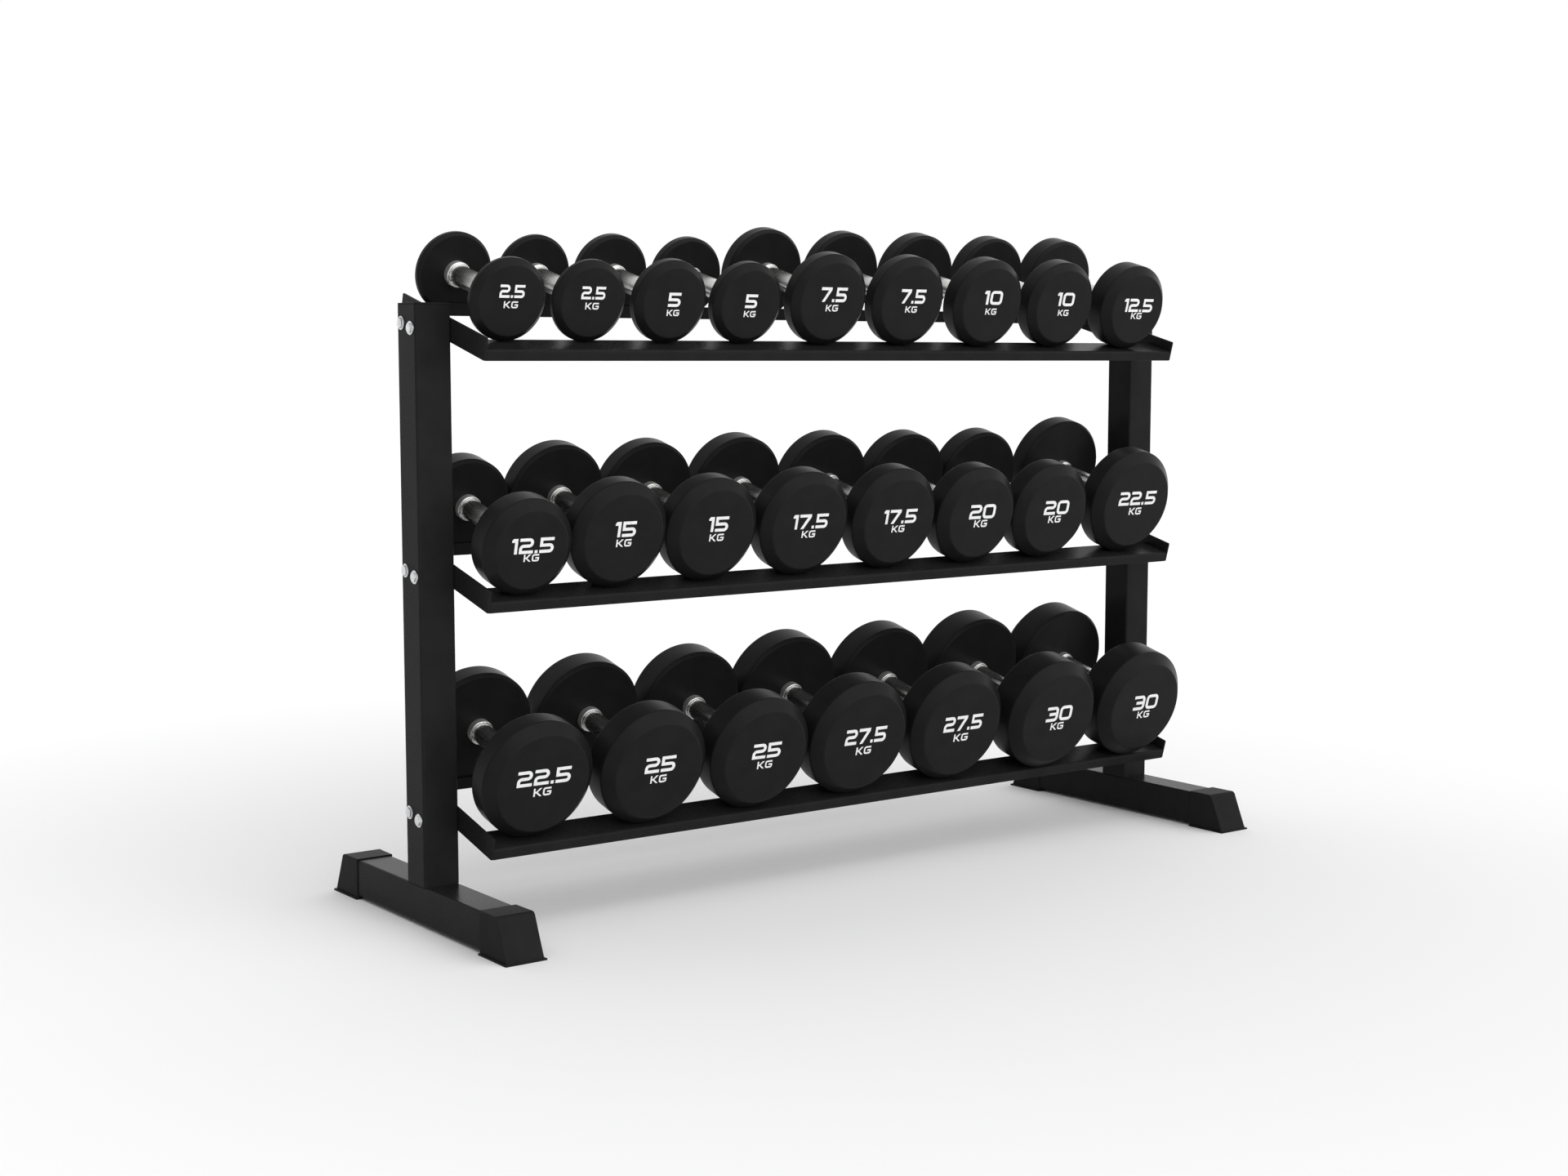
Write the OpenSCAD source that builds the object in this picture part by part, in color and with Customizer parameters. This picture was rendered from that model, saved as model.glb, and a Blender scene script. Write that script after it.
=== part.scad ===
// Three-tier dumbbell rack with twelve pairs of round dumbbells.
// Millimetres. X runs along the rack, -Y faces the user, Z is up from the floor.
// The origin is on the floor, under the middle of the rack.

/* [Frame] */
// Overall length across the two uprights
rack_length = 1570; // [1570:5:1700]
// Width and depth of the square tubes
tube = 60; // [56:1:64]
// Wall thickness of the square tubes
tube_wall = 2.5; // [2:0.5:4]
// Outer corner radius of the square tubes
tube_corner = 4; // [3:0.5:6]
// Height of the uprights' top above the floor
upright_top = 961; // [945:1:1000]
// Front-to-back length of each foot tube
foot_length = 500; // [480:5:540]

/* [Foot caps] */
// Thickness of the cap's floor under each tube end
cap_base = 5; // [4:0.5:8]
// Thickness of the lip along the foot of a cap
cap_lip = 3; // [2:0.5:4]
// Wall thickness of the sleeve around the tube
cap_wall = 2; // [1.5:0.5:3]
// How far the sleeve reaches back along the tube from its end
cap_reach = 44; // [30:1:60]
// How far the lip stands out past the tube's sides
cap_flange = 5; // [3:0.5:8]
// How far the sloping end reaches past the tube's end, at the floor
cap_nose = 40; // [30:1:50]

/* [Trays] */
// Slope of the trays, low at the front
tray_tilt = 15; // [10:1:18]
// Length of a tray along its slope
tray_depth = 279; // [270:1:290]
// Horizontal distance from the uprights' centre to a tray's front edge
tray_front = 131.5; // [126:0.5:136]
// Height of the bottom tray's front edge above the floor
bottom_tray_z = 119; // [110:1:130]
// Height from one tray to the next
tray_pitch = 377; // [370:1:384]
// Height of the end plates across the slope
plate_height = 35.6; // [34:0.2:40]
// Thickness of the end plates
plate_thick = 3.5; // [3:0.5:5]
// Width of each rail along the slope
rail_width = 65; // [60:1:70]
// Height of a rail's resting face above the tray's lower edge
rail_height = 17.4; // [16:0.2:20]
// Sheet thickness of the rails
sheet = 3; // [2:0.5:4]
// Outer radius of the rails' bends
bend = 4.5; // [4:0.5:6]

/* [Fasteners] */
// Diameter of the tray bolts
bolt_d = 10; // [8:2:12]
// Distance between the two bolts of a joint, along the slope
bolt_pitch = 31; // [28:1:36]
// Outer diameter of the washers
washer_d = 21; // [20:0.5:24]
// Thickness of the washers
washer_thick = 2; // [1.5:0.5:2.5]

/* [Dumbbells] */
// Diameter of the grip
grip_d = 33; // [28:1:36]
// Clear distance between the two heads
grip_length = 157; // [150:1:164]
// Diameter of the collar at each head
collar_d = 41; // [38:1:48]
// Thickness of each collar
collar_thick = 12; // [6:1:14]
// Chamfer on the inner edge of each head
inner_chamfer = 5; // [3:0.5:6]
// Least thickness of the rubber over the steel cores
cover = 2.5; // [2:0.5:4]
// Height at which the heads stand clear of the rails
rest_gap = 0.3; // [0.2:0.1:0.5]

/* [Hidden] */
$fn = 96;

// Rows of dumbbells: name, level, left end of the row, marks in kg, gap after each head.
TIERS = [
    ["top", 2, -733, [2.5, 2.5, 5, 5, 7.5, 7.5, 10, 10, 12.5], [13, 14, 14.5, 15, 16, 20, 18, 20]],
    ["middle", 1, -735, [12.5, 15, 15, 17.5, 17.5, 20, 20, 22.5], [0.8, 0.8, 6.4, 12, 6.5, 0.8, 18.5]],
    ["bottom", 0, -742, [22.5, 25, 25, 27.5, 27.5, 30, 30], [10, 12, 5, 12, 14.5, 14]],
];

// Head sizes: mark in kg, radius, radius of the flat face, width.
HEADS = [
    [2.5, 64.5, 54.5, 22.5],
    [5, 67, 56, 29.5],
    [7.5, 77, 64.5, 37.5],
    [10, 77.5, 65, 45],
    [12.5, 77.5, 62.5, 55],
    [15, 87, 71, 50],
    [17.5, 89.5, 74, 52.5],
    [20, 88, 71.5, 55],
    [22.5, 97, 80, 53.5],
    [25, 97.5, 80, 64],
    [27.5, 102.5, 85, 65],
    [30, 103, 84, 75.5],
];

SIDES = [["left", -1], ["right", 1]];

function dumbbell_name(tier, i) = str("dumbbell_", tier[0], "_", i + 1);

coat = [0.14, 0.14, 0.15];
black_plastic = [0.08, 0.08, 0.085];
black_rubber = [0.11, 0.11, 0.115];
steel = [0.78, 0.79, 0.8];

half_length = rack_length / 2;
inner_face = half_length - tube;
tube_top = cap_base + tube;
plug_head = 3;
plug_skirt = 15;
fit_gap = 0.1;
hole_r = bolt_d / 2 + 0.25;
bolt_across_flats = 1.45 * bolt_d;
bolt_head = 0.25 * bolt_d;
nut_height = 0.8 * bolt_d;
bolt_end = 3;
clamped = tube + plate_thick;
grip_r = grip_d / 2;
collar_r = collar_d / 2;

// The bolts pass through the middle of the upright and of the end plate.
bolt_s = (tray_front + plate_height / 2 * sin(tray_tilt)) / cos(tray_tilt);

// Densities in grams per cubic millimetre.
steel_density = 0.00785;
rubber_density = 0.0012;

// ---- Shared shapes ----

// Points on an arc, ends included.
function arc(centre, r, from, to, steps = 5) = [
    for (k = [0:steps]) let (a = from + (to - from) * k / steps) centre + r * [cos(a), sin(a)]
];

// Outline of a square with rounded corners, centred on the origin.
function rounded_square(size, r) = [
    for (q = [0:3]) each arc(
        (size / 2 - r) * [q == 0 || q == 3 ? 1 : -1, q < 2 ? 1 : -1], r, 90 * q, 90 * q + 90
    )
];

// A square tube standing on the origin.
module square_tube(length) {
    linear_extrude(length) difference() {
        polygon(rounded_square(tube, tube_corner));
        polygon(rounded_square(tube - 2 * tube_wall, tube_corner - tube_wall));
    }
}

// Puts children in a tray's own frame: Y up its slope from the front edge, Z square to it.
module on_tray(level) {
    translate([0, -tray_front, bottom_tray_z + level * tray_pitch])
        rotate([tray_tilt, 0, 0]) children();
}

// Repeats children on every tray.
module on_trays() {
    for (tier = TIERS) on_tray(tier[1]) children();
}

// Puts children at the bolts of one side, with +Z outwards and the upright's outer face at 0.
module at_bolts(side) {
    on_trays() for (end = [-1, 1])
        translate([side * half_length, bolt_s + end * bolt_pitch / 2, plate_height / 2])
            rotate([-end * tray_tilt, 0, 0]) rotate([0, side * 90, 0]) children();
}

// A round bar along Z with a hole through it.
module ring(outer_r, inner_r, height) {
    difference() {
        cylinder(r = outer_r, h = height);
        translate([0, 0, -1]) cylinder(r = inner_r, h = height + 2);
    }
}

// ---- Frame ----

module upright(side) {
    color(coat) difference() {
        translate([side * (half_length - tube / 2), 0, tube_top])
            square_tube(upright_top - plug_head - tube_top);
        at_bolts(side) translate([0, 0, -tube - 1]) cylinder(r = hole_r, h = tube + 2);
    }
}

module foot_tube(side) {
    color(coat) translate([side * (half_length - tube / 2), foot_length / 2, cap_base + tube / 2])
        rotate([90, 0, 0]) square_tube(foot_length);
}

module upright_plugs() {
    color(black_plastic) for (side = SIDES)
        translate([side[1] * (half_length - tube / 2), 0, upright_top - plug_head]) {
            linear_extrude(plug_head) polygon(rounded_square(tube, tube_corner));
            translate([0, 0, -plug_skirt]) linear_extrude(plug_skirt + 1)
                polygon(rounded_square(tube - 2 * tube_wall - 2 * fit_gap, tube_corner / 2));
        }
}

// Side view of a foot cap: Y towards the tip, Z up, 0 where the sleeve begins.
function cap_outline() = let (top = tube_top + cap_wall, r = 6) concat(
    [[0, 0], [0, top]],
    arc([cap_reach + 8 - r, top - r], r, 90, 20),
    [[cap_reach + cap_nose - 2, cap_lip], [cap_reach + cap_nose - 2, 0]]
);

// A moulded cap at the front end of a foot, with its tube end at the origin's height.
module foot_cap() {
    sleeve_w = tube + 2 * cap_wall;
    base_w = tube + 2 * cap_flange;
    difference() {
        union() {
            translate([-sleeve_w / 2, 0, 0]) rotate([90, 0, 90])
                linear_extrude(sleeve_w) polygon(cap_outline());
            translate([-base_w / 2, 0, 0]) cube([base_w, cap_reach + cap_nose, cap_lip]);
        }
        translate([0, cap_reach + fit_gap, cap_base + tube / 2]) rotate([90, 0, 0])
            linear_extrude(cap_reach + 2) polygon(rounded_square(tube + 2 * fit_gap, tube_corner));
    }
}

module foot_caps() {
    color(black_plastic) for (side = [-1, 1], end = [0, 1])
        translate([side * (half_length - tube / 2), 0, 0]) rotate([0, 0, 180 * end])
            translate([0, foot_length / 2 - cap_reach, 0]) foot_cap();
}

// ---- Trays ----

// Front rail in section: a channel that opens downwards, its top face level.
function front_rail_outline() = let (w = rail_width, h = rail_height, r = bend, i = bend - sheet) concat(
    [[0, 0]], arc([r, h - r], r, 180, 90), arc([w - r, h - r], r, 90, 0), [[w, 0], [w - sheet, 0]],
    arc([w - r, h - r], i, 0, 90), arc([r, h - r], i, 90, 180), [[sheet, 0]]
);

// Rear rail in section: a lip up at the front to stop the heads, a flange down at the back.
function rear_rail_outline() = let (
    w = rail_width, h = rail_height, low = rail_height - sheet, r = bend, i = bend - sheet
) concat(
    [[0, plate_height]], arc([r, low + r], r, 180, 270), arc([w - r, h - r], i, 90, 0),
    [[w - sheet, 0], [w, 0]], arc([w - r, h - r], r, 0, 90),
    arc([r, low + r], i, 270, 180), [[sheet, plate_height]]
);

// A rail between the two end plates of a tray.
module rail(outline) {
    length = 2 * (inner_face - plate_thick);
    translate([-length / 2, 0, 0]) rotate([90, 0, 90]) linear_extrude(length) polygon(outline);
}

module front_rails() {
    color(coat) on_trays() rail(front_rail_outline());
}

module rear_rails() {
    color(coat) on_trays() translate([0, tray_depth - rail_width, 0]) rail(rear_rail_outline());
}

module end_plates() {
    plate = [plate_thick, tray_depth, plate_height];
    color(coat) for (side = [-1, 1]) difference() {
        on_trays() translate([side * (inner_face - plate_thick / 2), tray_depth / 2, plate_height / 2])
            cube(plate, center = true);
        at_bolts(side) translate([0, 0, -clamped - 1]) cylinder(r = hole_r, h = clamped + 2);
    }
}

// ---- Fasteners ----

module tray_bolts() {
    shank = washer_thick + clamped + washer_thick + nut_height + bolt_end;
    color(steel) for (side = [-1, 1]) at_bolts(side) {
        translate([0, 0, washer_thick]) cylinder(d = bolt_across_flats / cos(30), h = bolt_head, $fn = 6);
        translate([0, 0, washer_thick - shank]) cylinder(d = bolt_d, h = shank + 1);
    }
}

module tray_washers() {
    color(steel) for (side = [-1, 1]) at_bolts(side)
        for (z = [0, -clamped - washer_thick]) translate([0, 0, z]) ring(washer_d / 2, hole_r, washer_thick);
}

module tray_nuts() {
    color(steel) for (side = [-1, 1]) at_bolts(side)
        translate([0, 0, -clamped - washer_thick - nut_height]) difference() {
            cylinder(d = bolt_across_flats / cos(30), h = nut_height, $fn = 6);
            translate([0, 0, -1]) cylinder(r = bolt_d / 2 + 0.05, h = nut_height + 2);
        }
}

// ---- Dumbbells ----

function head_of(kg) = [for (head = HEADS) if (head[0] == kg) head][0];
function radius_of(kg) = head_of(kg)[1];
function chamfer_of(kg) = head_of(kg)[1] - head_of(kg)[2];
function width_of(kg) = head_of(kg)[3];

// Where dumbbell i of a row stands along the rack.
function x_of(tier, i) = i == 0
    ? tier[2] + radius_of(tier[3][0])
    : x_of(tier, i - 1) + radius_of(tier[3][i - 1]) + tier[4][i - 1] + radius_of(tier[3][i]);

// Volume of a disc of width w with 45 degree chamfers: c outside, the inner chamfer inside.
function disc_volume(r, c, w) = let (
    squares = pow(c, 2) + pow(inner_chamfer, 2),
    cubes = pow(c, 3) + pow(inner_chamfer, 3)
) PI * (r * r * w - r * squares + cubes / 3);

// Radius of such a disc that has a given volume.
function disc_radius(volume, c, w) = let (
    squares = pow(c, 2) + pow(inner_chamfer, 2),
    cubes = pow(c, 3) + pow(inner_chamfer, 3)
) (squares + sqrt(pow(squares, 2) - 4 * w * (cubes / 3 - volume / PI))) / (2 * w);

function core_length(kg) = width_of(kg) - 2 * cover;

// Radius of the steel core that brings the dumbbell to its marked mass, or nearest to it under the rubber.
function core_radius(kg) = let (
    length = core_length(kg),
    bar = PI * grip_r * grip_r,
    collars = 2 * collar_thick * (PI * collar_r * collar_r - bar),
    handle = bar * (grip_length + 2 * cover + 2 * length) + collars,
    head = disc_volume(radius_of(kg), chamfer_of(kg), width_of(kg)) - bar * (cover + length),
    steel_core = (1000 * kg - steel_density * handle - 2 * rubber_density * head)
        / (2 * (steel_density - rubber_density))
) min(disc_radius(steel_core + bar * length, chamfer_of(kg), length), radius_of(kg) - cover);

// Half section of a chamfered disc from its inner face at 0: X is the radius, Y runs outwards.
module disc_section(r, c, w) {
    i = inner_chamfer;
    polygon([[0, 0], [r - i, 0], [r, i], [r, w - c], [r - c, w], [0, w]]);
}

// Puts children in a dumbbell's frame: its middle at the origin and its bar along Y.
module at_dumbbell(tier, i) {
    on_tray(tier[1])
        translate([x_of(tier, i), tray_depth / 2, rail_height + rest_gap + radius_of(tier[3][i])]) children();
}

// Puts children at each head, on its inner face, with +Z outwards along the bar.
module at_heads() {
    for (end = [-1, 1]) translate([0, end * grip_length / 2, 0]) rotate([-90 * end, 0, 0]) children();
}

// The rubber shells that are moulded over the steel cores.
module heads(tier, i) {
    kg = tier[3][i];
    c = chamfer_of(kg);
    color(black_rubber) at_dumbbell(tier, i) at_heads() rotate_extrude() difference() {
        disc_section(radius_of(kg), c, width_of(kg));
        translate([0, cover - fit_gap])
            disc_section(core_radius(kg) + fit_gap, c, core_length(kg) + 2 * fit_gap);
        translate([0, -1]) square([grip_r + fit_gap, cover + 2]);
    }
}

// The grip with its collars, and the two steel cores that are pressed on its ends.
module handle(tier, i) {
    kg = tier[3][i];
    bar_length = grip_length + 2 * cover + 2 * core_length(kg);
    color(steel) at_dumbbell(tier, i) {
        translate([0, bar_length / 2, 0]) rotate([90, 0, 0]) cylinder(r = grip_r, h = bar_length);
        at_heads() {
            translate([0, 0, -collar_thick]) cylinder(r = collar_r, h = collar_thick);
            translate([0, 0, cover]) rotate_extrude() difference() {
                disc_section(core_radius(kg), chamfer_of(kg), core_length(kg));
                translate([0, -1]) square([grip_r + fit_gap / 2, core_length(kg) + 2]);
            }
        }
    }
}

upright(-1);  // left_upright
upright(1);  // right_upright
foot_tube(-1);  // left_foot_tube
foot_tube(1);  // right_foot_tube
foot_caps();
upright_plugs();
front_rails();
rear_rails();
end_plates();
tray_bolts();
tray_washers();
tray_nuts();
for (tier = TIERS, i = [0:len(tier[3]) - 1]) {
    heads(tier, i);
    handle(tier, i);
}
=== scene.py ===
"""Looks of a three-tier dumbbell rack with 24 round dumbbells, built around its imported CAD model.

Metres, in the CAD model's own frame: X runs along the rack, -Y faces the user, Z is up, and the floor
is at 0.
"""

import math

import bmesh
import bpy
from mathutils import Matrix, Vector


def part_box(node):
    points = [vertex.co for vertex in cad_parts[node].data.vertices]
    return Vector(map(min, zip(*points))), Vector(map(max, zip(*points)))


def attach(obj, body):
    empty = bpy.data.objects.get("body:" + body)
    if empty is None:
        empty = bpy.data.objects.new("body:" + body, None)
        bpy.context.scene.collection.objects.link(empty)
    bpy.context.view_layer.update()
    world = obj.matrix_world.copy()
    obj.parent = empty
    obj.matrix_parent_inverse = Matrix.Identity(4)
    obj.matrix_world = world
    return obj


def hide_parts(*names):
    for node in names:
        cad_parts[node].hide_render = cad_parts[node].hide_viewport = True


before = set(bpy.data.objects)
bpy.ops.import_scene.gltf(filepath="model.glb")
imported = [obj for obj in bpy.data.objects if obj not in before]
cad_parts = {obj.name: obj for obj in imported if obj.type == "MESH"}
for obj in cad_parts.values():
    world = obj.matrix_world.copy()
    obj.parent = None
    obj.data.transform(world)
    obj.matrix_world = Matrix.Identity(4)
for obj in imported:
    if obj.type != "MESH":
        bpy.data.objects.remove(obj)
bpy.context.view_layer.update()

MM = 0.001

# ---- Sizes that the CAD model also has ----
TILT = math.radians(15)
TRAY_DEPTH = 0.279
PLATE_HEIGHT = 0.0356
PLATE_THICK = 0.0035
PLATE_CORNER = 0.002
RAIL_WIDTH = 0.065
RAIL_HEIGHT = 0.0174
SHEET = 0.003
BEND = 0.0045
TUBE = 0.060
BOLT_D = 0.010
BOLT_HEAD = 0.25 * BOLT_D
BOLT_ACROSS = 1.45 * BOLT_D
BOLT_PITCH = 0.031  # between the two bolts of a joint
NUT_HEIGHT = 0.8 * BOLT_D
WASHER_D = 0.021
WASHER_THICK = 0.002
CLAMPED = TUBE + PLATE_THICK  # what a bolt goes through
CAP_WALL = 0.002
CAP_HEIGHT = 0.067
CAP_REACH = 0.044  # how far a foot cap's sleeve goes over the tube
CAP_NOSE = 0.040  # from the tube's end to the cap's tip
CAP_FLANGE = 0.005  # how far the cap's base stands out from the tube's side
FLANGE_THICK = 0.003
PLUG_FLANGE = 0.003
PLUG_INSET = 0.003
GRIP_D = 0.033
GRIP_LENGTH = 0.157  # between the heads
COLLAR_D = 0.041
COLLAR_THICK = 0.012
INNER_CHAMFER = 0.005  # round the side of a head that faces the grip

# Mark in kg of each dumbbell, from the left.
ROWS = {
    "top": [2.5, 2.5, 5, 5, 7.5, 7.5, 10, 10, 12.5],
    "middle": [12.5, 15, 15, 17.5, 17.5, 20, 20, 22.5],
    "bottom": [22.5, 25, 25, 27.5, 27.5, 30, 30],
}

# Print on a head, in millimetres: numeral height, numeral width, how far the numeral's middle is above
# the face's centre, unit height, and how far the unit's middle is below the face's centre.
PRINT = {
    2.5: (20, 42.5, 15, 10.5, 5.5),
    5: (22.5, 23, 6, 10, 15),
    7.5: (24.5, 54, 11.5, 11, 11),
    10: (24.5, 42, 13.5, 11, 11),
    12.5: (24.5, 73, 7.5, 11.5, 12),
    15: (25, 38.5, 14.5, 12, 8),
    17.5: (25, 72, 9, 12, 13),
    20: (26, 59, 12, 13, 10),
    22.5: (26, 94, 12, 13.5, 13),
    25: (26.5, 56.5, 12, 13, 13),
    27.5: (28, 87, 11, 14, 16),
    30: (28.5, 61.5, 10, 13.5, 14.5),
}
UNIT_ASPECT = 2.3  # the unit's width over its height

# ---- Looks only ----
TINY = 1e-6  # shorter than any real length
PLATE_EDGE = 0.0007  # radius of a plate's sheared edge
FILM_RISE = 0.00025  # how far the print stands proud of a head
FILM_SINK = 0.0002  # how deep in the head it starts
HEX_SEGMENTS = 72
THREAD_PITCH = 0.0015
THREAD_DEPTH = 0.0009
THREAD_CREST = (0.35, 0.65)  # where a crest begins and ends, in pitches

# Brightness of the tent from the left (0) to the right (1).
WORLD_STOPS = [(0.02, 0.16), (0.38, 0.85), (0.6, 1.0), (0.98, 0.8)]
# Its strength at the horizon and straight up.
TENT_STRENGTH = (1.69, 0.92)
# A brighter panel: where its middle is, and where it begins, as the cosine of the angle from there.
PANEL_DIRECTION = (0.0, -0.77, 0.64)
PANEL_EDGE = 0.5
# The floor's painted shadow: its grey near the object and far from it, and the distances over which it
# changes.
FLOOR_SHADOW_GREYS = (0.835, 0.91)
FLOOR_SHADOW_FADE = (0.9, 2.6)
FLOOR_HALF = 60

CAMERA_LENS = 50.05  # millimetres
CAMERA_PLACE = (-2.2941, -3.0069, 0.8759)
CAMERA_DOWN = 5.9915  # degrees below level
CAMERA_AROUND = 36.4196  # degrees from +Y towards +X


# ---- Outlines ----

def rounded(points, closed=True, steps=5):
    """An outline of 2-D points (x, y) or (x, y, radius): a corner with a radius becomes an arc."""
    result = []
    count = len(points)
    for i, point in enumerate(points):
        radius = point[2] if len(point) > 2 else 0
        here = Vector(point[:2])
        if not radius or (not closed and i in (0, count - 1)):
            result.append(here)
            continue
        before = (Vector(points[i - 1][:2]) - here).normalized()
        after = (Vector(points[(i + 1) % count][:2]) - here).normalized()
        half = before.angle(after) / 2
        centre = here + (before + after).normalized() * (radius / math.sin(half))
        first = here + before * (radius / math.tan(half)) - centre
        last = here + after * (radius / math.tan(half)) - centre
        turn = first.angle_signed(last)
        for k in range(steps + 1):
            angle = -turn * k / steps
            result.append(centre + Matrix.Rotation(angle, 2) @ first)
    return result


def square(half, radius):
    """A square outline about the origin with rounded corners."""
    corners = [(-half, -half), (half, -half), (half, half), (-half, half)]
    return rounded([(x, y, radius) for x, y in corners])


# ---- Meshes ----

def piece_from(name, mesh_data, material, body, matrix=None, sharp=35):
    """A new object that rides on a body, from (vertices, faces, uvs per face corner or None)."""
    verts, faces, uvs = mesh_data
    mesh = bpy.data.meshes.new(name)
    mesh.from_pydata([tuple(v) for v in verts], [], faces)
    if uvs:
        layer = mesh.uv_layers.new(name="UVMap")
        flat = [value for face in uvs for corner in face for value in corner]
        layer.data.foreach_set("uv", flat)
    mesh.validate()
    fix_normals(mesh)
    mesh.shade_smooth()
    mesh.set_sharp_from_angle(angle=math.radians(sharp))
    mesh.materials.append(material)
    return place(name, mesh, body, matrix)


def fix_normals(mesh):
    """Turns every face outwards."""
    work = bmesh.new()
    work.from_mesh(mesh)
    bmesh.ops.recalc_face_normals(work, faces=work.faces)
    work.to_mesh(mesh)
    work.free()


def place(name, mesh, body, matrix=None):
    """An object for a mesh, put in place, riding on a body."""
    piece = bpy.data.objects.new(name, mesh)
    bpy.context.scene.collection.objects.link(piece)
    if matrix is not None:
        mesh.transform(matrix.to_3x3().to_4x4())
        piece.matrix_world = Matrix.Translation(matrix.translation)
    flat_faces = piece.modifiers.new("flat_faces", "WEIGHTED_NORMAL")
    flat_faces.keep_sharp = True
    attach(piece, body)
    return piece


def join(parts):
    """One (vertices, faces, uvs) from several, each paired with a matrix or None."""
    verts, faces, uvs = [], [], []
    for (part_verts, part_faces, part_uvs), matrix in parts:
        base = len(verts)
        verts += [matrix @ Vector(v) if matrix else Vector(v) for v in part_verts]
        faces += [tuple(base + i for i in face) for face in part_faces]
        uvs += part_uvs or [[(0, 0)] * len(face) for face in part_faces]
    return verts, faces, uvs


def take_mesh(shape):
    """The (vertices, faces, None) of a bmesh, which is freed."""
    verts = [v.co.copy() for v in shape.verts]
    shape.verts.index_update()
    faces = [tuple(v.index for v in f.verts) for f in shape.faces]
    shape.free()
    return verts, faces, None


def lathe(profile, segments=96):
    """A body of revolution about Y from a profile of (radius, y). A radius of 0 closes an end."""
    verts, faces, uvs, rings, lengths = [], [], [], [], []
    along = 0
    for i, (radius, y) in enumerate(profile):
        if i:
            along += math.hypot(radius - profile[i - 1][0], y - profile[i - 1][1])
        lengths.append(along)
        if radius < TINY:
            rings.append([len(verts)])
            verts.append((0, y, 0))
            continue
        rings.append(list(range(len(verts), len(verts) + segments)))
        for k in range(segments):
            a = math.tau * k / segments
            verts.append((radius * math.cos(a), y, radius * math.sin(a)))
    for i in range(len(profile) - 1):
        one, two = rings[i], rings[i + 1]
        v, v2 = lengths[i], lengths[i + 1]
        for k in range(segments):
            n = (k + 1) % segments
            u, u2 = k / segments, (k + 1) / segments
            if len(one) == 1:
                faces.append((one[0], two[k], two[n]))
                uvs.append([(u, v), (u, v2), (u2, v2)])
            elif len(two) == 1:
                faces.append((one[k], one[n], two[0]))
                uvs.append([(u, v), (u2, v), (u, v2)])
            else:
                faces.append((one[k], one[n], two[n], two[k]))
                uvs.append([(u, v), (u2, v), (u2, v2), (u, v2)])
    return verts, faces, uvs


def prism(outline, start, end):
    """An outline in Y and Z extruded along X from start to end, with flat ends."""
    count = len(outline)
    verts = [(x, p[0], p[1]) for x in (start, end) for p in outline]
    faces = [tuple(range(count)), tuple(range(2 * count - 1, count - 1, -1))]
    faces += [(k, count + k, count + (k + 1) % count, (k + 1) % count) for k in range(count)]
    return verts, faces, None


def soft_prism(outline, start, end, edge, steps=3):
    """A prism along X whose two end faces have rounded edges. The outline goes anticlockwise."""
    count = len(outline)
    points = [Vector(p) for p in outline]
    normals = []
    for k in range(count):
        before = (points[k] - points[k - 1]).normalized()
        after = (points[(k + 1) % count] - points[k]).normalized()
        mean = (before + after).normalized()
        stretch = 1 / max(0.4, mean.dot(after))
        normals.append(Vector((mean.y, -mean.x)) * stretch)
    turns = [math.pi / 2 * k / steps for k in range(steps + 1)]
    low = [(start + edge * (1 - math.cos(a)), edge * (1 - math.sin(a))) for a in turns]
    high = [(end - (x - start), inset) for x, inset in low[::-1]]
    stations = low + high
    verts, faces = [], []
    for x, inset in stations:
        for point, normal in zip(points, normals):
            inner = point - normal * inset
            verts.append((x, inner.x, inner.y))
    last = len(stations) - 1
    faces.append(tuple(range(count)))
    faces.append(tuple(range((last + 1) * count - 1, last * count - 1, -1)))
    for s in range(last):
        for k in range(count):
            n = (k + 1) % count
            faces.append((s * count + k, (s + 1) * count + k, (s + 1) * count + n, s * count + n))
    return verts, faces, None


# ---- Materials ----

def new_material(name):
    """A new material, its nodes, its links and its shader."""
    material = bpy.data.materials.new(name)
    material.use_nodes = True
    nodes = material.node_tree.nodes
    return material, nodes, material.node_tree.links, nodes["Principled BSDF"]


def coords(nodes, links, kind="Object", scale=(1, 1, 1)):
    """Texture coordinates, scaled along each axis."""
    source = nodes.new("ShaderNodeTexCoord")
    mapping = nodes.new("ShaderNodeMapping")
    mapping.inputs["Scale"].default_value = scale
    links.new(source.outputs[kind], mapping.inputs["Vector"])
    return mapping.outputs["Vector"]


def noise(nodes, links, vector, scale, detail, roughness=0.5):
    """A noise from 0 to 1."""
    texture = nodes.new("ShaderNodeTexNoise")
    texture.inputs["Scale"].default_value = scale
    texture.inputs["Detail"].default_value = detail
    texture.inputs["Roughness"].default_value = roughness
    links.new(vector, texture.inputs["Vector"])
    return texture.outputs["Fac"]


def ramp(nodes, links, value, low, high, start=0.0, end=1.0):
    """Maps a value from start..end to between two greys or two colours."""
    node = nodes.new("ShaderNodeValToRGB")
    node.color_ramp.elements[0].position = start
    node.color_ramp.elements[1].position = end
    for element, level in zip(node.color_ramp.elements, (low, high)):
        element.color = (*level, 1) if isinstance(level, tuple) else (level, level, level, 1)
    links.new(value, node.inputs["Fac"])
    return node.outputs["Color"]


def map_range(nodes, links, value, source=(0, 1), target=(0, 1), kind="LINEAR"):
    """Maps a value from one range to another, and keeps it there."""
    node = nodes.new("ShaderNodeMapRange")
    node.interpolation_type = kind
    for name, number in zip(("From Min", "From Max", "To Min", "To Max"), (*source, *target)):
        node.inputs[name].default_value = number
    links.new(value, node.inputs["Value"])
    return node.outputs["Result"]


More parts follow.
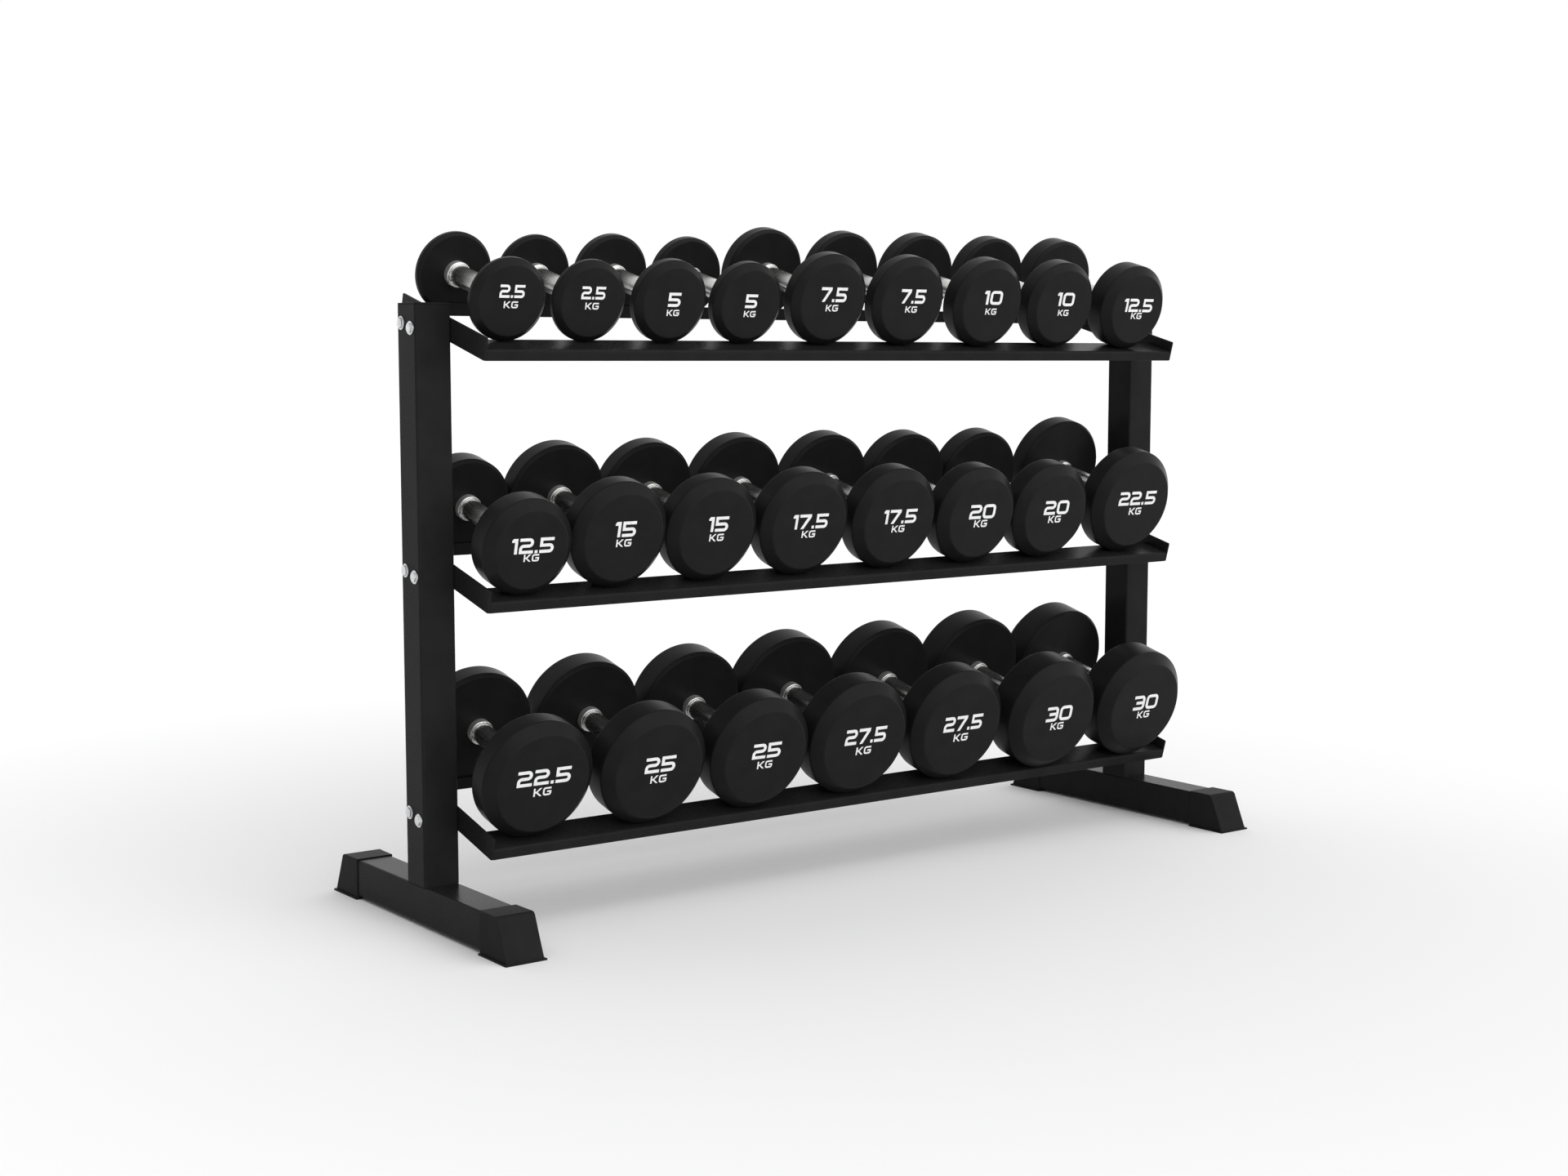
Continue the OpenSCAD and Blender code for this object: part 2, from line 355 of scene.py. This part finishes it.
def bump(nodes, links, height, strength, distance, before=None):
    """A normal from a height, on top of an earlier normal if there is one."""
    node = nodes.new("ShaderNodeBump")
    node.inputs["Strength"].default_value = strength
    node.inputs["Distance"].default_value = distance
    links.new(height, node.inputs["Height"])
    if before is not None:
        links.new(before, node.inputs["Normal"])
    return node.outputs["Normal"]


def grainy_material(name, colours, roughness, specular, grain, grain_depth, wave, wave_depth):
    """A dark matte surface: mottled colour and gloss, a fine grain and a slow wave in its surface."""
    material, nodes, links, shader = new_material(name)
    vector = coords(nodes, links)
    blotch = noise(nodes, links, vector, scale=22, detail=4, roughness=0.6)
    fine = noise(nodes, links, vector, scale=grain, detail=2, roughness=0.55)
    slow = noise(nodes, links, vector, scale=wave, detail=2)
    links.new(ramp(nodes, links, blotch, *colours, start=0.3, end=0.7), shader.inputs["Base Color"])
    links.new(ramp(nodes, links, fine, *roughness, start=0.25, end=0.75), shader.inputs["Roughness"])
    swell = bump(nodes, links, slow, strength=1.0, distance=wave_depth)
    relief = bump(nodes, links, fine, strength=1.0, distance=grain_depth, before=swell)
    links.new(relief, shader.inputs["Normal"])
    shader.inputs["Specular IOR Level"].default_value = specular
    return material


def powder_coat_material():
    """The tubes, rails and plates: black powder coat with a little orange peel."""
    return grainy_material(
        "powder_coat_finish", colours=((0.0128, 0.0128, 0.0130), (0.0162, 0.0162, 0.0166)),
        roughness=(0.23, 0.31), specular=0.03,
        grain=900, grain_depth=0.00002, wave=160, wave_depth=0.00005)


def rubber_material():
    """The heads: black rubber with a fine grain."""
    return grainy_material(
        "rubber_finish", colours=((0.0082, 0.0082, 0.0084), (0.0110, 0.0110, 0.0114)),
        roughness=(0.32, 0.40), specular=0.07,
        grain=1300, grain_depth=0.00003, wave=90, wave_depth=0.00006)


def plastic_material():
    """The foot caps and plugs: black moulded plastic."""
    return grainy_material(
        "plastic_finish", colours=((0.0125, 0.0125, 0.0126), (0.0160, 0.0160, 0.0162)),
        roughness=(0.42, 0.52), specular=0.03,
        grain=1100, grain_depth=0.00004, wave=120, wave_depth=0.00006)


def print_material():
    """White pad print: a thin matte ink with a trace of unevenness."""
    material, nodes, links, shader = new_material("white_print")
    vector = coords(nodes, links)
    cloud = noise(nodes, links, vector, scale=160, detail=3, roughness=0.6)
    fine = noise(nodes, links, vector, scale=1500, detail=2)
    links.new(ramp(nodes, links, cloud, 0.70, 0.80, start=0.3, end=0.7), shader.inputs["Base Color"])
    links.new(ramp(nodes, links, cloud, 0.5, 0.65), shader.inputs["Roughness"])
    links.new(bump(nodes, links, fine, strength=0.4, distance=0.00002), shader.inputs["Normal"])
    shader.inputs["Specular IOR Level"].default_value = 0.3
    return material


def steel_material(name, colours, roughness, streak_scale, depth):
    """Steel with fine turning marks that run round the part's axis."""
    material, nodes, links, shader = new_material(name)
    around = coords(nodes, links, "UV", streak_scale)
    streaks = noise(nodes, links, around, scale=1.0, detail=3, roughness=0.6)
    stain = noise(nodes, links, coords(nodes, links), scale=60, detail=3, roughness=0.6)
    links.new(ramp(nodes, links, stain, *colours, start=0.3, end=0.7), shader.inputs["Base Color"])
    links.new(ramp(nodes, links, streaks, *roughness, start=0.3, end=0.7), shader.inputs["Roughness"])
    links.new(bump(nodes, links, streaks, strength=1.0, distance=depth), shader.inputs["Normal"])
    shader.inputs["Metallic"].default_value = 1.0
    return material


def chrome_material():
    """The grips: brushed plated steel."""
    return steel_material(
        "chrome_finish", colours=((0.60, 0.60, 0.59), (0.72, 0.72, 0.70)),
        roughness=(0.18, 0.34), streak_scale=(150, 8, 1), depth=0.000006)


def collar_material():
    """The outside of the collars: lighter and duller than the grip."""
    return steel_material(
        "collar_finish", colours=((0.80, 0.80, 0.78), (0.90, 0.90, 0.88)),
        roughness=(0.44, 0.58), streak_scale=(110, 60, 1), depth=0.00002)


def zinc_material():
    """The bolts, washers and nuts."""
    return steel_material(
        "zinc_finish", colours=((0.58, 0.59, 0.60), (0.70, 0.71, 0.71)),
        roughness=(0.24, 0.38), streak_scale=(12, 900, 1), depth=0.00001)


def floor_material():
    """A pale matte floor with a painted shadow: its colour is darker near the object and paler away from
    it.
    """
    material, nodes, links, shader = new_material("studio_floor")
    vector = coords(nodes, links)
    reach = nodes.new("ShaderNodeVectorMath")
    reach.operation = "LENGTH"
    links.new(vector, reach.inputs[0])
    # Painted shadow: the floor's colour darkens towards the object.
    painted_shadow_grey = map_range(nodes, links, reach.outputs["Value"], FLOOR_SHADOW_FADE, FLOOR_SHADOW_GREYS, "SMOOTHSTEP")
    links.new(painted_shadow_grey, shader.inputs["Base Color"])
    shade = noise(nodes, links, vector, scale=0.7, detail=2)
    links.new(ramp(nodes, links, shade, 0.88, 0.94), shader.inputs["Roughness"])
    shader.inputs["Specular IOR Level"].default_value = 0.0
    return material


# ---- Frame ----

def coat_tubes(coat):
    """The square tubes keep their CAD shape."""
    for name in ("left_upright", "right_upright", "left_foot_tube", "right_foot_tube"):
        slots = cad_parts[name].data.materials
        slots.clear()
        slots.append(coat)


def tray_matrices():
    """A matrix for each tray, from the bottom up, out of a frame of its own: Y up the slope from the
    front edge, Z square to it."""
    low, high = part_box("end_plates")
    front = low.y + PLATE_HEIGHT * math.sin(TILT)
    top = high.z - TRAY_DEPTH * math.sin(TILT) - PLATE_HEIGHT * math.cos(TILT)
    pitch = (top - low.z) / 2
    turn = Matrix.Rotation(TILT, 4, "X")
    return [Matrix.Translation((0, front, low.z + level * pitch)) @ turn for level in range(3)]


def front_rail_outline():
    """A channel that opens downwards, its sheet edges rounded."""
    w, h, edge, inner = RAIL_WIDTH, RAIL_HEIGHT, SHEET * 0.3, BEND - SHEET
    return rounded([
        (0, 0, edge), (SHEET, 0, edge), (SHEET, h - SHEET, inner), (w - SHEET, h - SHEET, inner),
        (w - SHEET, 0, edge), (w, 0, edge), (w, h, BEND), (0, h, BEND),
    ])


def rear_rail_outline():
    """A lip up at the front, a flange down at the back."""
    w, h, edge, inner = RAIL_WIDTH, RAIL_HEIGHT, SHEET * 0.3, BEND - SHEET
    return rounded([
        (0, h - SHEET, BEND), (w - SHEET, h - SHEET, inner), (w - SHEET, 0, edge), (w, 0, edge),
        (w, h, BEND), (SHEET, h, inner), (SHEET, PLATE_HEIGHT, edge), (0, PLATE_HEIGHT, edge),
    ])


def make_trays(coat):
    """The rails and the flat plates at their ends."""
    trays = tray_matrices()
    low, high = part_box("front_rails")
    front = prism(front_rail_outline(), low.x, high.x)
    rear = prism(rear_rail_outline(), low.x, high.x)
    shift = Matrix.Translation((0, TRAY_DEPTH - RAIL_WIDTH, 0))
    front_rails = piece_from("front_rail_sheets", join([(front, m) for m in trays]), coat, "rack")
    rear_rails = piece_from("rear_rail_sheets", join([(rear, m @ shift) for m in trays]), coat, "rack")
    corners = [(0, 0), (TRAY_DEPTH, 0), (TRAY_DEPTH, PLATE_HEIGHT), (0, PLATE_HEIGHT)]
    side = rounded([(y, z, PLATE_CORNER) for y, z in corners])
    low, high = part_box("end_plates")
    left = soft_prism(side, low.x, low.x + PLATE_THICK, PLATE_EDGE)
    right = soft_prism(side, high.x - PLATE_THICK, high.x, PLATE_EDGE)
    both = [(plate, m) for plate in (left, right) for m in trays]
    plates = piece_from("tray_end_plates", join(both), coat, "rack")
    pairs = [(front_rails, "front_rails"), (rear_rails, "rear_rails"), (plates, "end_plates")]
    for piece, node in pairs:
        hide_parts(node)


# ---- Plastic caps ----

def cap_body():
    """The body of a foot cap, its nose rounded over and its upright edges softened."""
    half = TUBE / 2 + CAP_WALL
    base = 0.0006
    shoulder = CAP_REACH + 0.008
    toe = CAP_REACH + CAP_NOSE - 0.002
    nose_radius, edge_radius = 0.006, 0.0022
    shape = bmesh.new()
    side = [(0, base), (0, CAP_HEIGHT), (shoulder, CAP_HEIGHT), (toe, base)]
    rings = [[shape.verts.new((x, y, z)) for y, z in side] for x in (-half, half)]
    shape.faces.new(rings[0])
    shape.faces.new(rings[1][::-1])
    for k in range(4):
        n = (k + 1) % 4
        shape.faces.new((rings[0][k], rings[1][k], rings[1][n], rings[0][n]))
    bmesh.ops.recalc_face_normals(shape, faces=shape.faces)
    nose = [e for e in shape.edges if all(v.co.z > CAP_HEIGHT - TINY and v.co.y > TINY for v in e.verts)]
    bmesh.ops.bevel(shape, geom=nose, offset=nose_radius, segments=6, profile=0.5, affect="EDGES")
    ridge = [e for e in shape.edges if is_ridge(e, base)]
    bmesh.ops.bevel(shape, geom=ridge, offset=edge_radius, segments=4, profile=0.5, affect="EDGES")
    return take_mesh(shape)


def is_ridge(edge, base):
    """Whether an edge of the cap's body is one between its flat side and its back, top or slope."""
    one, two = (v.co for v in edge.verts)
    sharp = edge.calc_face_angle(0) > math.radians(50) and edge.calc_length() > 0.005
    return sharp and max(one.z, two.z) > base + TINY and abs(one.x - two.x) < TINY


def cap_mesh():
    """A foot cap for the front end of a foot: its body and its base flange. Y runs from where the
    sleeve begins towards the tip."""
    tip = CAP_REACH + CAP_NOSE
    outline = rounded([
        (0, 0, 0.0005), (tip, 0, 0.0005), (tip, FLANGE_THICK, 0.001), (0, FLANGE_THICK, 0.001),
    ], steps=3)
    half = TUBE / 2 + CAP_FLANGE
    flange = soft_prism(outline, -half, half, 0.0009)
    return join([(cap_body(), None), (flange, None)])


def make_caps(plastic):
    """A cap on each end of each foot."""
    tube_low, tube_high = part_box("left_foot_tube")
    centre_x = (tube_low.x + tube_high.x) / 2
    tip_y = -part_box("foot_caps")[0].y
    cap = cap_mesh()
    spot = Matrix.Translation((0, tip_y - CAP_REACH - CAP_NOSE, 0))
    parts = []
    for x in (centre_x, -centre_x):
        for end in (0, 1):
            turn = Matrix.Rotation(math.pi * end, 4, "Z")
            parts.append((cap, Matrix.Translation((x, 0, 0)) @ turn @ spot))
    caps = piece_from("foot_cap_mouldings", join(parts), plastic, "rack", sharp=40)
    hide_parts("foot_caps")


def make_plugs(plastic):
    """Plugs in the tops of the uprights: a flange with a softened edge and a skirt inside the tube."""
    low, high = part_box("upright_plugs")
    half = TUBE / 2
    under = high.z - PLUG_FLANGE
    overlap = 0.0005
    flange = soft_prism(square(half, 0.004), under, high.z, 0.001)
    skirt = prism(square(half - PLUG_INSET, 0.002), low.z, under + overlap)
    parts = []
    for side in (-1, 1):
        middle = Matrix.Translation((side * (high.x - half), 0, 0))
        upright = middle @ Matrix.Rotation(-math.pi / 2, 4, "Y")
        parts += [(flange, upright), (skirt, upright)]
    plugs = piece_from("upright_plug_mouldings", join(parts), plastic, "rack")
    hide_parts("upright_plugs")


# ---- Fasteners ----

def hex_head(start, height, across, toward, hole=0.0):
    """A hexagon about Y, as a bolt head or a nut has, the corners of its free end turned to a cone.
    It grows from start in the direction toward, 1 or -1. The radius of its hole may be 0."""
    flat = across / 2
    sixth = math.pi / 3
    end = start + toward * height
    cone_from, cone_slope = 0.97 * flat, 0.45
    face_radius = 0.95 * flat
    verts, faces = [], []
    for ring in range(5):
        for k in range(HEX_SEGMENTS):
            a = math.tau * k / HEX_SEGMENTS
            reach = flat / math.cos((a + sixth / 2) % sixth - sixth / 2)
            cone = end - toward * cone_slope * (reach - cone_from)
            radius, y = [
                (hole, start), (reach, start), (reach, cone), (face_radius, end), (hole, end),
            ][ring]
            verts.append((radius * math.cos(a), y, radius * math.sin(a)))
    for ring in range(5 if hole else 4):
        one, two = ring * HEX_SEGMENTS, (ring + 1) % 5 * HEX_SEGMENTS
        for k in range(HEX_SEGMENTS):
            n = (k + 1) % HEX_SEGMENTS
            faces.append((one + k, one + n, two + n, two + k))
    around = [(math.atan2(z, x) / math.tau, y) for x, y, z in verts]
    return verts, faces, [[around[i] for i in face] for face in faces]


def thread_profile(radius, start, end):
    """Half section of a threaded length, from start to end along Y."""
    points = []
    count = round(abs(end - start) / THREAD_PITCH)
    step = (end - start) / count
    for k in range(count):
        root = start + step * k
        points.append((radius - THREAD_DEPTH, root))
        points += [(radius, root + step * part) for part in THREAD_CREST]
    return points


def bolt_mesh():
    """A bolt about Y: its head on the outer washer, its shank threaded from inside the tube to the tip."""
    r = BOLT_D / 2
    into_head, thread_margin, past_nut, taper = 0.0005, 0.008, 0.003, 0.0012
    under = WASHER_THICK + into_head
    thread_start = thread_margin - CLAMPED
    tip = -(WASHER_THICK + CLAMPED + NUT_HEIGHT + past_nut)
    shank = [(0, under), (r, under), (r, thread_start)]
    shank += thread_profile(r, thread_start, tip + taper)
    shank += [(r - taper, tip), (0, tip)]
    head = hex_head(WASHER_THICK, BOLT_HEAD, BOLT_ACROSS, 1)
    return join([(head, None), (lathe(shank, 32), None)])


def washer_mesh():
    """A washer about Y, from 0 up, its edges broken."""
    edge, outer, top = 0.0004, WASHER_D / 2, WASHER_THICK
    inner = BOLT_D / 2 + 0.0003
    bore = BOLT_D / 2 + 0.0006
    return lathe([
        (inner, edge), (bore, 0), (outer - edge, 0), (outer, edge), (outer, top - edge),
        (outer - edge, top), (bore, top), (inner, top - edge), (inner, edge),
    ], 64)


def bolt_places():
    """A matrix for each bolt: the outside of the upright at 0, Y outwards."""
    out_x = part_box("right_upright")[1].x
    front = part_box("end_plates")[0].y + PLATE_HEIGHT * math.sin(TILT)
    middle = PLATE_HEIGHT / 2 * math.tan(TILT) - front / math.cos(TILT)
    places = []
    for tray in tray_matrices():
        for side in (-1, 1):
            outward = Matrix.Rotation(-side * math.pi / 2, 4, "Z")
            for end in (-1, 1):
                y = middle + end * BOLT_PITCH / 2
                spot = tray @ Matrix.Translation((side * out_x, y, PLATE_HEIGHT / 2))
                places.append(spot @ Matrix.Rotation(-end * TILT, 4, "X") @ outward)
    return places


def make_fasteners(zinc):
    """Through each joint a bolt, with a washer under its head and another under its nut."""
    inside = -CLAMPED - WASHER_THICK
    under_head = Matrix.Identity(4)
    under_nut = Matrix.Translation((0, inside, 0))
    bolt, washer = bolt_mesh(), washer_mesh()
    nut_bore = BOLT_D / 2 + 0.0001
    nut = hex_head(inside, NUT_HEIGHT, BOLT_ACROSS, -1, nut_bore)
    places = bolt_places()
    bolts = [(bolt, m) for m in places]
    washers = [(washer, m @ shift) for m in places for shift in (under_head, under_nut)]
    nuts = [(nut, m) for m in places]
    kinds = [
        ("bolts_m10", bolts, "tray_bolts"), ("flat_washers", washers, "tray_washers"),
        ("hex_nuts", nuts, "tray_nuts"),
    ]
    for name, parts, node in kinds:
        piece = piece_from(name, join(parts), zinc, "rack", sharp=28)
        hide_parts(node)


# ---- Print on the heads ----

# In units of a glyph's height: the width of a stroke, half of it, the middle of a stroke along the top,
# the radius of a stroke's corner, and the gap between two glyphs.
STROKE = 0.2
HALF = STROKE / 2
TOP = 1 - HALF
TURN = 0.2
GLYPH_GAP = 0.13

# Each glyph: its width, then its strokes ("line", open; "loop", closed) and filled shapes ("shape"), in
# units of its height. A third number rounds a corner.
GLYPHS = {
    "0": (1.06, [
        ("loop", [(HALF, HALF, TURN), (0.96, HALF, TURN), (0.96, TOP, TURN), (HALF, TOP, TURN)]),
    ]),
    "1": (0.42, [
        ("shape", [(0.22, 0), (0.42, 0), (0.42, 1), (0.1, 1), (0, 0.88), (0, 0.76), (0.22, 0.76)]),
    ]),
    "2": (1.0, [
        ("line", [
            (0.02, TOP), (TOP, TOP, TURN), (TOP, 0.5, TURN), (HALF, 0.5, TURN), (HALF, HALF), (1, HALF),
        ]),
    ]),
    "3": (0.98, [
        ("line", [(0, TOP), (0.88, TOP, TURN), (0.88, HALF, TURN), (0, HALF)]),
        ("shape", [(0.22, 0.4), (0.78, 0.4), (0.78, 0.6), (0.22, 0.6)]),
    ]),
    "5": (1.0, [
        ("line", [
            (0.99, TOP), (HALF, TOP), (HALF, 0.5), (TOP, 0.5, TURN), (TOP, HALF, TURN), (0, HALF),
        ]),
    ]),
    "7": (0.98, [
        ("shape", [(0, 1), (0.98, 1), (0.98, 0.8), (0.42, 0), (0.17, 0), (0.7, 0.8), (0, 0.8)]),
    ]),
    ".": (0.2, [
        ("shape", [(0, 0), (0.2, 0), (0.2, 0.2), (0, 0.2)]),
    ]),
    "K": (1.06, [
        ("shape", [(0, 0), (STROKE, 0), (STROKE, 1), (0, 1)]),
        ("shape", [(STROKE, 0.5), (0.5, 0.5), (1.04, 1), (0.76, 1), (0.34, 0.6), (STROKE, 0.6)]),
        ("shape", [(STROKE, 0.4), (0.34, 0.4), (0.78, 0), (1.06, 0), (0.5, 0.5), (STROKE, 0.5)]),
    ]),
    "G": (1.06, [
        ("line", [
            (1.02, TOP), (HALF, TOP, TURN), (HALF, HALF, TURN), (0.96, HALF, TURN), (0.96, 0.48),
            (0.52, 0.48),
        ]),
    ]),
}


def ribbon(points, closed):
    """The two sides of a stroke of even width along a path, as a list of (left, right)."""
    path = []
    for point in rounded(points, closed, steps=4):
        if not path or (point - path[-1]).length > 0.001:
            path.append(point)
    count = len(path)
    pairs = []
    for k, here in enumerate(path):
        before = here - path[k - 1] if closed or k else path[1] - path[0]
        after = path[(k + 1) % count] - here if closed or k < count - 1 else here - path[k - 1]
        one, two = before.normalized(), after.normalized()
        mean = (one + two).normalized()
        reach = HALF / max(0.3, mean.dot(two))
        side = Vector((-mean.y, mean.x)) * reach
        pairs.append((here + side, here - side))
    return pairs


def glyph_mesh(letter):
    """Flat quads and polygons of a glyph, as (points, faces)."""
    points, faces = [], []
    for kind, path in GLYPHS[letter][1]:
        base = len(points)
        if kind == "shape":
            points += [Vector(p) for p in path]
            faces.append(tuple(range(base, len(points))))
            continue
        pairs = ribbon(path, kind == "loop")
        for left, right in pairs:
            points += [left, right]
        spans = len(pairs) if kind == "loop" else len(pairs) - 1
        for k in range(spans):
            n = (k + 1) % len(pairs)
            faces.append((base + 2 * k, base + 2 * k + 1, base + 2 * n + 1, base + 2 * n))
    return points, faces


def text_mesh(text, width, height, rise):
    """A word as flat (points, faces) in metres, centred on X, its middle at a height of rise."""
    natural = sum(GLYPHS[c][0] for c in text) + GLYPH_GAP * (len(text) - 1)
    scale_x = width / natural
    points, faces = [], []
    x = -natural / 2
    for letter in text:
        glyph_points, glyph_faces = glyph_mesh(letter)
        base = len(points)
        points += [Vector(((x + p.x) * scale_x, rise + (p.y - 0.5) * height)) for p in glyph_points]
        faces += [tuple(base + i for i in face) for face in glyph_faces]
        x += GLYPHS[letter][0] + GLYPH_GAP
    return points, faces


def print_mesh(kg, reach):
    """The mark on both ends of a dumbbell: a raised film on the flat faces at y = -reach and reach."""
    height, width, rise, unit_height, drop = (value * MM for value in PRINT[kg])
    words = [
        text_mesh(f"{kg:g}", width, height, rise),
        text_mesh("KG", unit_height * UNIT_ASPECT, unit_height, -drop),
    ]
    film = bmesh.new()
    for points, faces in words:
        verts = [film.verts.new((p.x, FILM_SINK - reach, p.y)) for p in points]
        for face in faces:
            film.faces.new([verts[i] for i in face])
    bmesh.ops.remove_doubles(film, verts=film.verts, dist=TINY)
    bmesh.ops.recalc_face_normals(film, faces=film.faces)
    grown = bmesh.ops.extrude_face_region(film, geom=film.faces[:])
    for element in grown["geom"]:
        if isinstance(element, bmesh.types.BMVert):
            element.co.y -= FILM_SINK + FILM_RISE
    bmesh.ops.recalc_face_normals(film, faces=film.faces)
    front = take_mesh(film)
    return join([(front, None), (front, Matrix.Rotation(math.pi, 4, "Z"))])


# ---- Dumbbells ----

def head_sizes(name):
    """A dumbbell's centre and its heads' radius, chamfer and half length, worked out from its CAD box."""
    low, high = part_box(f"{name}_heads")
    centre = (low + high) / 2
    half = (high - low) / 2
    radius = half.x
    sine, cosine = math.sin(TILT), math.cos(TILT)
    body = (half.z - radius * cosine) / sine
    chamfer = (half.y - body * cosine - radius * sine) / (cosine - sine)
    return centre, radius, chamfer, body + chamfer


def head_mesh(radius, chamfer, reach):
    """Both rubber heads, about Y. Each has a flat face, a wide chamfer round it, a straight side and a
    small chamfer on the inside, with soft edges."""
    inner = GRIP_LENGTH / 2
    soft = min(0.005, 0.3 * chamfer)
    section = rounded([
        (0, inner), (radius - INNER_CHAMFER, inner, 0.0015), (radius, inner + INNER_CHAMFER, 0.003),
        (radius, reach - chamfer, soft), (radius - chamfer, reach, soft), (0, reach),
    ], closed=False)
    section = [(p.x, p.y) for p in section]
    section.insert(-1, (0.6 * section[-2][0], reach))
    head = lathe(section, 128)
    return join([(head, None), (head, Matrix.Rotation(math.pi, 4, "Z"))])


def handle_mesh():
    """The grip: a round bar with a rounded collar at each head."""
    end = GRIP_LENGTH / 2
    bar, collar = GRIP_D / 2, COLLAR_D / 2
    inner = end - COLLAR_THICK
    hidden = end + 0.001  # a little inside the head
    half = rounded([
        (bar, 0), (bar, inner, 0.0015), (collar, inner, 0.0025), (collar, hidden), (0, hidden),
    ], closed=False)
    section = [(p.x, -p.y) for p in half[:0:-1]] + [(p.x, p.y) for p in half]
    return lathe(section)


def dull_collars(grip, material):
    """Gives the outside of the collars a material of its own."""
    grip.data.materials.append(material)
    axis = Vector((0, math.cos(TILT), math.sin(TILT)))
    collar_from = COLLAR_D / 2 - 0.0006
    for face in grip.data.polygons:
        outward = face.center - axis * face.center.dot(axis)
        face.material_index = int(outward.length > collar_from)


def make_dumbbells(rubber, chrome, collar, white):
    """Each dumbbell's heads, grip and print, which ride together on its body."""
    handle = handle_mesh()
    for row, marks in ROWS.items():
        for number, kg in enumerate(marks, 1):
            name = f"dumbbell_{row}_{number}"
            centre, radius, chamfer, reach = head_sizes(name)
            spot = Matrix.Translation(centre) @ Matrix.Rotation(TILT, 4, "X")
            heads = piece_from(f"{name}_rubber", head_mesh(radius, chamfer, reach), rubber, name, spot)
            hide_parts(f"{name}_heads")
            grip = piece_from(f"{name}_grip", handle, chrome, name, spot)
            dull_collars(grip, collar)
            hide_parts(f"{name}_handle")
            piece_from(f"{name}_print", print_mesh(kg, reach), white, name, spot)


# ---- Studio ----

def make_studio():
    """A wide floor under a soft white tent."""
    corners = [(-1, -1), (1, -1), (1, 1), (-1, 1)]
    floor = bpy.data.meshes.new("studio_floor")
    floor.from_pydata([(x * FLOOR_HALF, y * FLOOR_HALF, 0) for x, y in corners], [], [(0, 1, 2, 3)])
    floor.materials.append(floor_material())
    stage = bpy.data.objects.new("studio_floor", floor)
    bpy.context.scene.collection.objects.link(stage)
    bpy.context.scene.world = studio_world()


def studio_world():
    """The tent, with a brighter panel high in front. The camera sees plain white instead."""
    world = bpy.data.worlds.new("studio")
    world.use_nodes = True
    nodes = world.node_tree.nodes
    links = world.node_tree.links
    direction = nodes.new("ShaderNodeTexCoord").outputs["Generated"]
    axes = nodes.new("ShaderNodeSeparateXYZ")
    links.new(direction, axes.inputs["Vector"])
    tent = nodes["Background"]
    links.new(tent_shade(nodes, links, axes.outputs["X"]), tent.inputs["Color"])
    links.new(tent_strength(nodes, links, direction, axes.outputs["Z"]), tent.inputs["Strength"])
    backdrop = nodes.new("ShaderNodeBackground")
    backdrop.inputs["Color"].default_value = (1, 1, 1, 1)
    rays = nodes.new("ShaderNodeLightPath")
    chosen = nodes.new("ShaderNodeMixShader")
    links.new(rays.outputs["Is Camera Ray"], chosen.inputs["Fac"])
    links.new(tent.outputs["Background"], chosen.inputs[1])
    links.new(backdrop.outputs["Background"], chosen.inputs[2])
    links.new(chosen.outputs["Shader"], nodes["World Output"].inputs["Surface"])
    return world


def tent_shade(nodes, links, x):
    """Dims the tent on the left."""
    shade = nodes.new("ShaderNodeValToRGB")
    stops = shade.color_ramp.elements
    shade.color_ramp.interpolation = "EASE"
    for position, level in WORLD_STOPS:
        stops.new(position).color = (level, level, level, 1)
    stops.remove(stops[0])
    stops.remove(stops[-1])
    links.new(map_range(nodes, links, x, source=(-1, 1)), shade.inputs["Fac"])
    return shade.outputs["Color"]


def tent_strength(nodes, links, direction, z):
    """The tent's strength, which falls off upwards, plus the panel."""
    upward = map_range(nodes, links, z, target=TENT_STRENGTH)
    towards = nodes.new("ShaderNodeVectorMath")
    towards.operation = "DOT_PRODUCT"
    towards.inputs[1].default_value = PANEL_DIRECTION
    links.new(direction, towards.inputs[0])
    panel = map_range(nodes, links, towards.outputs["Value"], source=(PANEL_EDGE, 1), kind="SMOOTHSTEP")
    both = nodes.new("ShaderNodeMath")
    both.operation = "ADD"
    links.new(upward, both.inputs[0])
    links.new(panel, both.inputs[1])
    return both.outputs["Value"]


def make_camera():
    """The photograph's viewpoint, fitted to its straight edges."""
    camera = bpy.data.cameras.new("camera")
    camera.sensor_width = 36
    camera.lens = CAMERA_LENS
    camera.clip_end = 300
    holder = bpy.data.objects.new("camera", camera)
    holder.location = CAMERA_PLACE
    holder.rotation_euler = (math.radians(90 - CAMERA_DOWN), 0, math.radians(-CAMERA_AROUND))
    bpy.context.scene.collection.objects.link(holder)
    bpy.context.scene.camera = holder
    bpy.context.scene.view_settings.view_transform = "Standard"


make_camera()
make_studio()
coat = powder_coat_material()
coat_tubes(coat)
plastic = plastic_material()
make_trays(coat)
make_caps(plastic)
make_plugs(plastic)
make_fasteners(zinc_material())
make_dumbbells(rubber_material(), chrome_material(), collar_material(), print_material())
